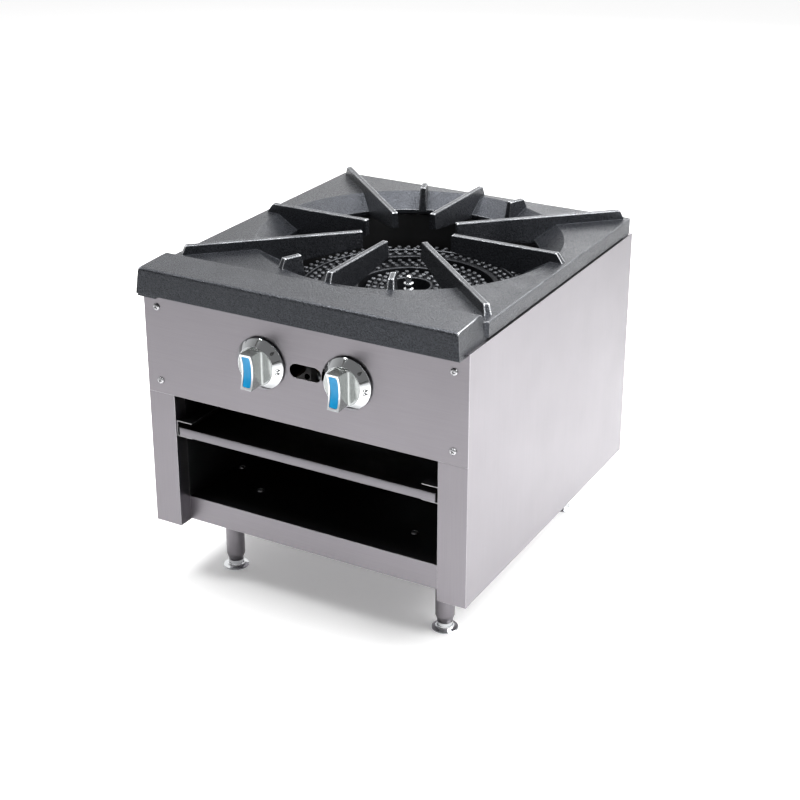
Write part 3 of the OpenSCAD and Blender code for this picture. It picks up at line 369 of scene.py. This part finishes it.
screw_zinc, place, skin = new_finish("bright_zinc_plate", {"Metallic": 1.0})
stain = noise(screw_zinc, place, 1.2 * MM, 3.0)
plating = blend_tone(screw_zinc, "#8f8f92", "#c4c4c6", stain)
# Painted shade: occlusion darkens the cross recess and the head's seat towards near black.
sunk = add_node(screw_zinc, "ShaderNodeAmbientOcclusion", {"Distance": 1.2 * MM}, samples=8)
painted_recess_shade = spread(screw_zinc, sunk.outputs["AO"], 0.95, 0.0, 0.45, 0.85)
feed(screw_zinc, skin, Base_Color=over_tone(screw_zinc, plating, "#131313", painted_recess_shade),
     Roughness=spread(screw_zinc, stain, 0.18, 0.36), Normal=rounded(screw_zinc, 0.25 * MM))
dress(screw_zinc, "support_screws", "leg_nuts")

pan_head = screw_head("pan_head", 4.7, 2.4, screw_zinc)
head_reach = 4.0 * MM
panel_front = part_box("control_panel")[0].y
low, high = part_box("panel_screws")
across = (low.x + head_reach, high.x - head_reach)
upright = (low.z + head_reach, high.z - head_reach)
spots = [((x, panel_front, z), (0, -1, 0)) for x in across for z in upright]
heads = set_on_points("panel_screw_heads", pan_head, spots, screw_zinc, 3)
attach(heads, "frame")
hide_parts("panel_screws")

low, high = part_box("back_screws")
across = (low.x + head_reach, high.x - head_reach)
upright = (low.z + head_reach, middle("right_side_panel").z, high.z - head_reach)
back_seat = high.y - 2.3 * MM
spots = [((x, back_seat, z), (0, 1, 0)) for x in across for z in upright]
heads = set_on_points("back_screw_heads", pan_head, spots, screw_zinc, 5)
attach(heads, "frame")
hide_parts("back_screws")

bolt_head = screw_head("bolt_head", 4.9, 2.8, screw_zinc)
bolt_in = 44 * MM
bolt_side = 16 * MM
shelf_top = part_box("shelf_liner")[1].z
spots = []
for foot, sx, sy in (("foot_front_left", -1, -1), ("foot_front_right", 1, -1),
                     ("foot_rear_left", -1, 1), ("foot_rear_right", 1, 1)):
    leg = middle(foot)
    spots.append(((leg.x - sx * bolt_in, leg.y, shelf_top), (0, 0, 1)))
    spots.append(((leg.x + sx * bolt_side, leg.y - sy * bolt_in, shelf_top), (0, 0, 1)))
heads = set_on_points("leg_bolt_heads", bolt_head, spots, screw_zinc, 8)
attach(heads, "frame")
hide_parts("leg_bolts")
bpy.data.objects.remove(pan_head)
bpy.data.objects.remove(bolt_head)

# Gas pipe and fittings: black iron, threaded and screwed together with sealing compound.
# The saddles that carry the pipe and the shutters of the mixing tubes are pressed black steel.
# All are left as rolled under a thin oil: dark, with brown and grey scale spots.
pipe_skin, place, skin = new_finish("oiled_black_iron_pipe", {"Metallic": 0.4})
scale_spots = noise(pipe_skin, place, 6 * MM, 5.0)
edge = rounded(pipe_skin, 0.8 * MM)
feed(pipe_skin, skin, Base_Color=blend_tone(pipe_skin, "#232324", "#434140", scale_spots),
     Roughness=spread(pipe_skin, scale_spots, 0.4, 0.6),
     Normal=bumped(pipe_skin, scale_spots, edge, 0.3, 0.3 * MM))
dress(pipe_skin, "manifold_pipe", "manifold_cap", "manifold_brackets", "supply_elbows", "supply_riser",
      "supply_pipe", "outer_air_shutter", "centre_air_shutter")

# Orifices and pilot valve: free cutting brass, turned, dulled by heat and handling.
# Brown tarnish lies in clouds over the yellow metal.
brass, place, skin = new_finish("aged_brass", {"Metallic": 1.0})
tarnish = noise(brass, place, 5 * MM, 4.0)
edge = rounded(brass, 0.4 * MM)
clouded = blend_tone(brass, "#2c2313", "#5a4827", tarnish)
feed(brass, skin, Base_Color=over_tone(brass, clouded, "#8d7749", edge_share(brass, edge)),
     Roughness=spread(brass, tarnish, 0.28, 0.5), Normal=edge)
dress(brass, "outer_orifice", "centre_orifice", "pilot_valve")

# Gas valves: zinc alloy die cast bodies with turned stems, shot blasted, screwed on the pipe.
# The blasting leaves a dull, even grain, and heat and fumes have darkened it.
die_cast, place, skin = new_finish("die_cast_alloy", {"Metallic": 0.9, "Roughness": 0.5})
cast_grain = noise(die_cast, place, 1.2 * MM, 3.0)
edge = rounded(die_cast, 0.8 * MM)
feed(die_cast, skin, Base_Color=blend_tone(die_cast, "#3d3833", "#5d574f", cast_grain),
     Normal=bumped(die_cast, cast_grain, edge, 0.25, 0.2 * MM))
dress(die_cast, "left_valve", "right_valve", "left_valve_stem", "right_valve_stem")

# Pilot tubes: soft aluminium tube, 5 mm, bent by hand and held by nuts.
# Drawing marks and thumb prints make the shine uneven.
tube_sets = {"Metallic": 1.0, "Base Color": tone("#b7b9bc")}
soft_tube, place, skin = new_finish("soft_aluminium_tube", tube_sets)
feed(soft_tube, skin, Roughness=spread(soft_tube, noise(soft_tube, place, 4 * MM, 3.0), 0.3, 0.5))
dress(soft_tube, "pilot_tube", "outer_pilot_tube")

# Burner: three rings of grey iron, sand cast, with rows of raised ports drilled one by one.
# The sand leaves a grain about a millimetre wide; the upper edges of rims and ports are lighter, partly
# rubbed by cleaning and partly a painted highlight.
# The middle and the small ring are one casting, joined by three webs.
RING_SIDES = 120
RING_LOW = 338.0
RING_TOP = 367.5
RIM_RISE = 5.5
WEB_HIGH = 16
WEB_HALF = 9
PORT_SIDES = 10
PORT_PITCH = 13.4
PORT_SINK = 0.4


def cast_iron(name, low, high, worn_and_highlit_tone, sand, gloss, edge_radius):
    """Sand cast iron: dark and grainy, its upper outer edges brighter in patches, partly rubbed wear and
    partly painted highlight.
    """
    finish, place, skin = new_finish(name, {"Metallic": 0.8})
    grit = spread(finish, noise(finish, place, sand, 2.0, 0.6), 0.0, 1.0, 0.3, 0.7)
    patch = noise(finish, place, 35 * MM, 4.0)
    pits = add_node(finish, "ShaderNodeTexVoronoi", {"Scale": 1 / (2.2 * sand)}, {"Vector": place})
    ground = add_node(finish, "ShaderNodeMix", None,
                      {"Factor": patch, "A": grit, "B": pits.outputs["Distance"]},
                      data_type="FLOAT").outputs["Result"]
    edge = rounded(finish, edge_radius)
    thin = add_node(finish, "ShaderNodeAmbientOcclusion", {"Distance": 2.4 * edge_radius}, samples=8,
                    inside=True, only_local=True)
    broken = spread(finish, noise(finish, place, 40 * MM, 4.0), 0.35, 1.0, 0.34, 0.5)
    # Painted highlight: only edges whose rounded normal faces upwards, where light from above falls, are
    # lightened; the patches also stand for wear.
    lift = add_node(finish, "ShaderNodeSeparateXYZ", None, {"Vector": edge}).outputs["Z"]
    upper_edge_patches = times(finish, broken, spread(finish, lift, 0.0, 1.0, 0.08, 0.35))
    worn_and_highlit_edges = times(finish, spread(finish, thin.outputs["AO"], 1.0, 0.0, 0.60, 0.80), upper_edge_patches)
    base = over_tone(finish, blend_tone(finish, low, high, ground), worn_and_highlit_tone, worn_and_highlit_edges)
    feed(finish, skin, Base_Color=base, Roughness=spread(finish, grit, gloss - 0.10, gloss + 0.12),
         Normal=bumped(finish, ground, edge, 0.9, 0.5 * MM))
    return finish


burner_iron = cast_iron("sand_cast_burner_iron", "#17181a", "#303135", "#7d7f83", 1.1 * MM, 0.40,
                        0.8 * MM)
dress(burner_iron, "outer_mixing_tube", "centre_mixing_tube")
burner_y = middle("outer_burner_ring").y


def ring_section(inner, outer, rims, cut=0.9):
    """Closed section of a ring casting with its rims, its corners cut."""
    line = [(inner, RING_LOW), (inner, RING_TOP)]
    for r0, r1 in rims:
        line += [(r0, RING_TOP), (r0, RING_TOP + RIM_RISE), (r1, RING_TOP + RIM_RISE), (r1, RING_TOP)]
    line += [(outer, RING_TOP), (outer, RING_LOW)]
    line = [p for i, p in enumerate(line) if p != line[i - 1]]
    made = []
    for i, (r, z) in enumerate(line):
        for other in (line[i - 1], line[(i + 1) % len(line)]):
            run = math.hypot(other[0] - r, other[1] - z)
            share = min(cut, 0.45 * run) / run
            made.append((r + share * (other[0] - r), z + share * (other[1] - z)))
    return made


def web(angle, near, far):
    """Shell of a flat web between two rings, at an angle and from radius to radius."""
    a = math.radians(angle)
    corners = ((near, -WEB_HALF), (far, -WEB_HALF), (far, WEB_HALF), (near, WEB_HALF))
    flat = [((u * math.cos(a) - v * math.sin(a)) * MM, (u * math.sin(a) + v * math.cos(a)) * MM)
            for u, v in corners]
    return skin_over([[(x, y, z * MM) for x, y in flat] for z in (RING_LOW, RING_LOW + WEB_HIGH)])


def burner_casting(name, node, castings, rows, webs, seed):
    """Ring castings with their ports, as one casting that stands for a CAD node."""
    shells = [skin_over(turned(ring_section(*casting), RING_SIDES), True) for casting in castings]
    points, faces = joined(shells + [web(*sizes) for sizes in webs])
    points = [(x, y + burner_y, z) for x, y, z in points]
    casting = make_piece(name, points, faces, [burner_iron], 40)
    spots = []
    for r in rows:
        count = int(2 * math.pi * r / PORT_PITCH)
        for i in range(count):
            a = (i + 0.5) * 2 * math.pi / count
            spot = (r * MM * math.cos(a), burner_y + r * MM * math.sin(a), (RING_TOP - PORT_SINK) * MM)
            spots.append((spot, (0, 0, 1)))
    ports = set_on_points(name + "_ports", port, spots, burner_iron, seed, 0.08)
    for made in (casting, ports):
        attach(made, "frame")
    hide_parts(node)


port_line = [(3.7, 0), (3.45, 0.9), (3.3, 4.7), (2.6, 5.8), (1.4, 5.7), (1.15, 3.0)]
port = make_piece("port", *skin_over(turned(port_line, PORT_SIDES)), [burner_iron], 50)
burner_casting("outer_burner_casting", "outer_burner_ring", [(114, 163, [(114, 121), (143, 145.5)])],
               [127.5, 136.5, 150.5, 158.5], [], 11)
burner_casting("centre_burner_casting", "centre_burner_rings",
               [(68, 106, [(68, 71.5)]), (28, 60, [(28, 31)])],
               [81, 91, 101, 37.5, 46.5, 55], [(90, 58, 70), (210, 58, 70), (330, 58, 70)], 12)
bpy.data.objects.remove(port)

# Drip tray: rolled steel sheet folded up on four sides, its edge hemmed inwards.
# Only the front lip shows the steel; behind it the tray is coloured near black with a mottled gloss,
# painted shade for the dark inside of the body.
tray_painted_shade, place, skin = new_finish("tray_painted_shade_black")
mottle = noise(tray_painted_shade, place, 40 * MM, 5.0, 0.6)
feed(tray_painted_shade, skin, Base_Color=blend_tone(tray_painted_shade, "#0a0908", "#1b1816", mottle),
     Roughness=spread(tray_painted_shade, mottle, 0.35, 0.65))
tray_steel = brushed_sheet("plain_rolled_steel_lip", "#68666a", "#777579", 0, 0.40)
tray_low, tray_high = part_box("drip_tray")
TRAY_CORNER = 3.0
WALL = 1.2
HEM = 0.6
HEM_DEEP = 4


def tray_loop(inset, z):
    """Rounded rectangle inside the tray's outline, by an inset in millimetres."""
    r = max(0.3, TRAY_CORNER - inset) * MM
    x0, x1 = tray_low.x + inset * MM + r, tray_high.x - inset * MM - r
    y0, y1 = tray_low.y + inset * MM + r, tray_high.y - inset * MM - r
    loop = []
    for cx, cy, first in ((x1, y1, 0), (x0, y1, 90), (x0, y0, 180), (x1, y0, 270)):
        for i in range(6):
            a = math.radians(first + 18 * i)
            loop.append((cx + r * math.cos(a), cy + r * math.sin(a), z * MM))
    return loop


z0, z1 = tray_low.z / MM, tray_high.z / MM
inner = WALL + HEM
tray_path = [(1.4, z0), (0.4, z0 + 0.4), (0, z0 + 1.4), (0, z1 - 0.6), (0.18, z1 - 0.18), (0.6, z1),
             (inner - 0.6, z1), (inner - 0.15, z1 - 0.2), (inner, z1 - 0.6), (inner, z1 - HEM_DEEP),
             (WALL, z1 - HEM_DEEP), (WALL, z0 + WALL + 1.5), (WALL + 0.4, z0 + WALL + 0.4),
             (WALL + 1.5, z0 + WALL)]
tray = make_piece("folded_drip_tray", *skin_over([tray_loop(*p) for p in tray_path]),
                  [tray_steel, tray_painted_shade])
lip_back = tray_low.y + (inner + 0.1) * MM
# The floor and every face behind the lip take the near black painted shade.
for face in tray.data.polygons:
    is_floor = face.area > 0.05
    face.material_index = 1 if is_floor or face.center.y > lip_back else 0
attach(tray, "tray")
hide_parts("drip_tray")

# Knobs: a spun steel skirt under chrome and a moulded grip in silver grey plastic, pushed on
# the valve's stem. The grip has a printed bright border and a light blue insert pressed in, and
# the skirt has its setting marks printed in black ink.
grip_plastic, place, skin = new_finish("silver_grey_plastic", {"Metallic": 0.75})
speck = noise(grip_plastic, place, 0.8 * MM)
feed(grip_plastic, skin, Base_Color=blend_tone(grip_plastic, "#9a9d9c", "#a5a8a7", speck),
     Roughness=spread(grip_plastic, speck, 0.13, 0.17), Normal=rounded(grip_plastic, 0.4 * MM))
border_print, place, skin = new_finish("bright_silver_print", {"Metallic": 0.6})
foil = noise(border_print, place, 0.6 * MM)
feed(border_print, skin, Base_Color=blend_tone(border_print, "#d5d9dc", "#eceff1", foil),
     Roughness=spread(border_print, foil, 0.2, 0.3))
blue_plastic, place, skin = new_finish("light_blue_plastic", {"Specular IOR Level": 0.35})
tint = noise(blue_plastic, place, 6 * MM)
feed(blue_plastic, skin, Base_Color=blend_tone(blue_plastic, "#0080b6", "#008cc0", tint),
     Roughness=spread(blue_plastic, tint, 0.25, 0.35))
mark_ink, place, skin = new_finish("black_printing_ink")
ink_dots = noise(mark_ink, place, 0.5 * MM)
feed(mark_ink, skin, Base_Color=blend_tone(mark_ink, "#141414", "#2a2a2a", ink_dots),
     Roughness=spread(mark_ink, noise(mark_ink, place, 0.7 * MM), 0.35, 0.5))

KNOB_SIDES = 96
CONE_LOW = (33.1, 4.5)
CONE_TOP = (25.4, 12.7)
MARKS_AT = 29.2
MARKS_TILT = 0.68
MARKS_HALF = 0.05
DIAL_OUT = 13.0
GRIP_OUT = 35.0
GRIP_HALF = 23.0
GRIP_WIDE = 8.2
GRIP_SCOOP = 4.8
FLARE = 0.6
FILLET = 2.5
LEAN = 1.0
BORDER = 2.3
POCKET_HALF = 20.0
POCKET_CORNER = 2.6
POCKET_DEEP = 0.9
SKIRT_LINE = [(16, 5), (29, 5), (32.5, 2.4), (33.3, 2.0), (33.8, 2.2), (34, 2.7), (34, 3.4),
              (33.7, 4.0), CONE_LOW, CONE_TOP, (25.0, 13), (24.6, 12.9), (24.5, 12.5),
              (24.5, 11.8), (16, 11.8)]
DIAL_LINE = [(16, 11.9), (24.35, 11.9), (24.35, 12.8), (24.15, 13.0), (12, 13.0)]


def grip_front(y):
    """Height of the bar's scooped front above the panel."""
    return GRIP_OUT - GRIP_SCOOP * (1 - (y / GRIP_HALF) ** 2)


def pocket_half(y, gap=0.0):
    """Half the width of the pocket for the insert, round at its corners."""
    r = POCKET_CORNER
    into = abs(y) - (POCKET_HALF - gap - r)
    if into <= 0:
        return GRIP_WIDE - BORDER - gap
    return GRIP_WIDE - BORDER - gap - r + math.sqrt(max(0.0, r * r - into * into))


def bar_section(y):
    """Right half of the bar's section: hollow foot, flank, round shoulder, border, pocket."""
    end = abs(y) > GRIP_HALF - 0.01
    high = grip_front(y) - (0.5 if end else 0.0)
    wide = GRIP_WIDE - (0.4 if end else 0.0)
    foot = wide + FLARE + FILLET
    line = [(foot, DIAL_OUT - 0.4)]
    for i in range(7):
        a = math.radians(270 - 15 * i)
        line.append((foot + FILLET * math.cos(a), DIAL_OUT + FILLET + FILLET * math.sin(a)))
    line += [(wide + 0.05, high - 1.2), (wide, high - 0.6), (wide - 0.2, high - 0.2), (wide - 0.6, high)]
    inside = abs(y) < POCKET_HALF
    pocket = pocket_half(y) if inside else 0.0
    deep = POCKET_DEEP if inside else 0.0
    return line + [(pocket, high), (pocket, high - deep)]


def along_bar(ends):
    """Places of sections along the bar: the given ones at both ends, 1 mm apart between them."""
    return [-y for y in ends] + list(range(-17, 18)) + ends[::-1]


def both_halves(half):
    """A half section with its mirror image."""
    return half + [(-x, out) for x, out in half[::-1]]


def bar_loops():
    """Sections of the bar from end to end, as closed loops."""
    ends = [GRIP_HALF, GRIP_HALF - 0.5, POCKET_HALF + 0.02]
    ends += [POCKET_HALF - step for step in (0.02, 0.3, 0.9, 1.7, 2.6)]
    loops = []
    for y in along_bar(ends):
        high = grip_front(y)
        loops.append([(x * MM,
                       y * (1 - LEAN / GRIP_HALF * (high - out) / (high - DIAL_OUT)) * MM,
                       out * MM) for x, out in both_halves(bar_section(y))])
    return loops


def insert_loops(gap=0.12):
    """Sections of the insert, slightly domed, just below the bar's front."""
    ends = [POCKET_HALF - gap - step for step in (0.0, 0.1, 0.4, 1.0, 1.8, 2.6)]
    loops = []
    for y in along_bar(ends):
        wide = max(0.6, pocket_half(y, gap))
        top = grip_front(y) - 0.35 - (0.35 if abs(y) > ends[1] - 0.01 else 0.0)
        floor = grip_front(y) - POCKET_DEEP - 0.3
        half = [(wide, floor), (wide, top - 0.3), (wide - 0.25, top - 0.05), (0.5 * wide, top + 0.08)]
        loops.append([(x * MM, y * MM, out * MM) for x, out in both_halves(half)])
    return loops


def drop_mark(size, shift=0.0):
    """Outline of a small flame shaped drop, its tip away from the knob's middle."""
    line = [(0.0, 1.35), (0.34, 0.72), (0.62, 0.2), (0.66, -0.3), (0.42, -0.72), (0.0, -0.9),
            (-0.42, -0.72), (-0.66, -0.3), (-0.62, 0.2), (-0.34, 0.72)]
    return [(u * size + shift, v * size) for u, v in line]


def bar_mark(wide, long):
    """Outline of a tick across the skirt."""
    return [(-wide / 2, -long / 2), (wide / 2, -long / 2), (wide / 2, long / 2), (-wide / 2, long / 2)]


def on_cone(outline, clock, lift):
    """A mark's outline laid on the skirt's cone at an angle from the top, turning clockwise."""
    slope = (CONE_TOP[1] - CONE_LOW[1]) / (CONE_LOW[0] - CONE_TOP[0])
    loop = []
    for u, v in outline:
        r = MARKS_AT + v * MARKS_TILT
        out = CONE_LOW[1] + (CONE_LOW[0] - r) * slope + lift
        a = math.radians(90 - clock) - u / r
        loop.append((r * MM * math.cos(a), r * MM * math.sin(a), out * MM))
    return loop


def knob(side_name, body):
    """A knob's four pieces, on the panel."""
    centre = middle(side_name + "_knob_skirt")

    def on_panel(name, shells, finishes, smooth_to):
        points, faces = joined(shells)
        points = [(centre.x + x, panel_front - z, centre.z + y) for x, y, z in points]
        made = make_piece(side_name + name, points, faces, finishes, smooth_to)
        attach(made, body)
        return made

    skirt = on_panel("_spun_skirt", [skin_over(turned(SKIRT_LINE, KNOB_SIDES), True)], [chrome], 30)
    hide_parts(side_name + "_knob_skirt")
    grip_shells = [skin_over(turned(DIAL_LINE, KNOB_SIDES)), skin_over(bar_loops())]
    grip = on_panel("_moulded_grip", grip_shells, [grip_plastic, border_print], 34)
    for face in grip.data.polygons:
        y = (face.center.z - centre.z) / MM
        out = (panel_front - face.center.y) / MM
        if out > grip_front(y) - 0.7 and face.normal.y < -0.7:
            face.material_index = 1
    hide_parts(side_name + "_knob_grip")
    insert = on_panel("_coloured_insert", [skin_over(insert_loops())], [blue_plastic], 40)
    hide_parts(side_name + "_knob_insert")
    shapes = [(drop_mark(3.0), 48), (bar_mark(0.9, 10.0), 70), (drop_mark(3.2, -2.3), 96),
              (drop_mark(3.2, 2.3), 96), (bar_mark(2.0, 8.0), 0)]
    prints = [skin_over([on_cone(line, clock, lift) for lift in (-MARKS_HALF, MARKS_HALF)])
              for line, clock in shapes]
    marks = on_panel("_printed_marks", prints, [mark_ink], 30)


knob("left", "left_knob")
knob("right", "right_knob")

# Cast iron top: one heavy sand casting with its fins, tabs, ledge and sloping wall.
# It lies loose on the upper edges of the sides and the back, held by its weight and a lug.
# Its skin is grainy and dark grey; its upper outer edges are bright, partly rubbed by pots and hands and
# partly a painted highlight.
top_iron = cast_iron("sand_cast_top_iron", "#1a1c1f", "#424449", "#cdcfd3", 1.1 * MM, 0.29,
                     1.4 * MM)
dress(top_iron, "top_grate")

# Floor, light and camera: a plain pale floor in a white room, under large soft lights.
# The room shines less from the front than from behind, which shades the fronts of the metal.
# The lens looks a little down, from the right of the front, as in the photograph.
FLOOR_HALF = 6.0
floor_sets = {"Base Color": tone("#fbfbfb"), "Roughness": 0.9, "Emission Color": tone("#ffffff"),
              "Emission Strength": 0.2}
floor_finish = new_finish("pale_studio_floor", floor_sets)[0]
floor_mesh = bpy.data.meshes.new("studio_floor")
corners = ((-1, -1), (1, -1), (1, 1), (-1, 1))
floor_mesh.from_pydata([(x * FLOOR_HALF, y * FLOOR_HALF, 0) for x, y in corners], [], [(0, 1, 2, 3)])
floor_mesh.materials.append(floor_finish)
floor = bpy.data.objects.new("studio_floor", floor_mesh)
bpy.context.scene.collection.objects.link(floor)

bpy.context.scene.view_settings.view_transform = "Standard"
world = bpy.data.worlds.new("studio_dome")
bpy.context.scene.world = world
world.use_nodes = True
air = world.node_tree.nodes["Background"]
air.inputs["Color"].default_value = (1.0, 1.0, 1.0, 1.0)
ROOM_GLOW = 1.1
direction = add_node(world, "ShaderNodeTexCoord").outputs["Generated"]
sky = add_node(world, "ShaderNodeSeparateXYZ", None, {"Vector": direction})
glow = spread(world, sky.outputs["Y"], 0.2, ROOM_GLOW, -0.5, 0.4)
seen = add_node(world, "ShaderNodeLightPath").outputs["Is Camera Ray"]
shine = add_node(world, "ShaderNodeMix", {"B": ROOM_GLOW}, {"Factor": seen, "A": glow},
                 data_type="FLOAT")
feed(world, air, Strength=shine.outputs["Result"])


def soft_light(name, place, aim, size, power):
    """A square softbox at a place, facing a point."""
    lamp = bpy.data.lights.new(name, "AREA")
    lamp.size = size
    lamp.energy = power
    holder = bpy.data.objects.new(name, lamp)
    holder.location = place
    holder.rotation_euler = (Vector(aim) - Vector(place)).to_track_quat("-Z", "Y").to_euler()
    holder.visible_camera = False
    bpy.context.scene.collection.objects.link(holder)


soft_light("overhead_softbox", (-0.4, 0.1, 2.4), (-0.2, 0.0, 0.4), 1.1, 54)
soft_light("right_rear_softbox", (0.95, 0.2, 1.3), (0.5, 0.1, 0.1), 1.6, 50)
soft_light("ledge_softbox", (-1.0, -1.0, 2.3), (-0.1, -0.27, 0.43), 0.45, 16)
soft_light("rear_softbox", (-0.9, 3.0, 1.8), (0.1, 0.0, 0.4), 1.3, 20)

lens = bpy.data.cameras.new("photo_camera")
lens.lens = 71.84
lens.sensor_width = 36.0
lens.shift_y = -0.1
lens.clip_end = 50.0
camera = bpy.data.objects.new("photo_camera", lens)
camera.location = (0.96252, -1.71084, 1.11426)
camera.rotation_euler = (math.radians(90.0 - 21.6525), 0.0, math.radians(29.197))
bpy.context.scene.collection.objects.link(camera)
bpy.context.scene.camera = camera
